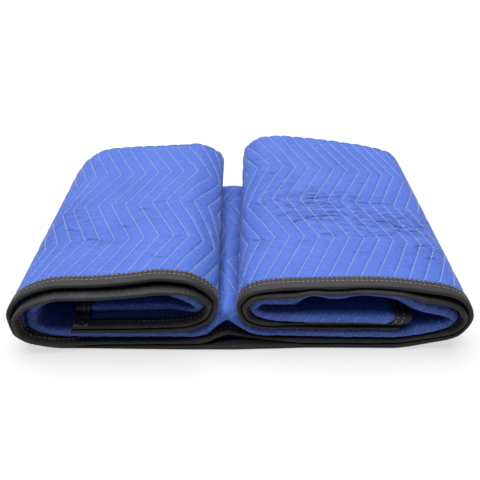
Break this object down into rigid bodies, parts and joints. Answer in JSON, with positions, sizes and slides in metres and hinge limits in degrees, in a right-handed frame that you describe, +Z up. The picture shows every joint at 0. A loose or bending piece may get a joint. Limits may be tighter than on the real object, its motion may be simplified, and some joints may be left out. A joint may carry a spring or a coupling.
{
  "type": "moving blanket",
  "caption": "Zigzag-quilted moving blanket with woven edge binding, folded to four layers and rolled in from both ends into two flat rolls side by side.",
  "frame": {"origin": "centre of the overall box at the level of the underside", "axes": "+X along the width of the two rolls, +Y from the bound front edge to the folded back, +Z up"},
  "size_m": [0.6868, 0.475, 0.1574],
  "materials": {
    "quilted_cloth": "matte quilted cloth",
    "binding_a_tape": "matte woven tape",
    "binding_b_tape": "matte woven tape",
    "binding_left_tape": "matte woven tape",
    "binding_right_tape": "matte woven tape"
  },
  "bodies": {
    "root": {"quilt": "quilted_cloth", "binding_a": "binding_a_tape", "binding_b": "binding_b_tape", "binding_left": "binding_left_tape", "binding_right": "binding_right_tape"}
  },
  "joints": []
}
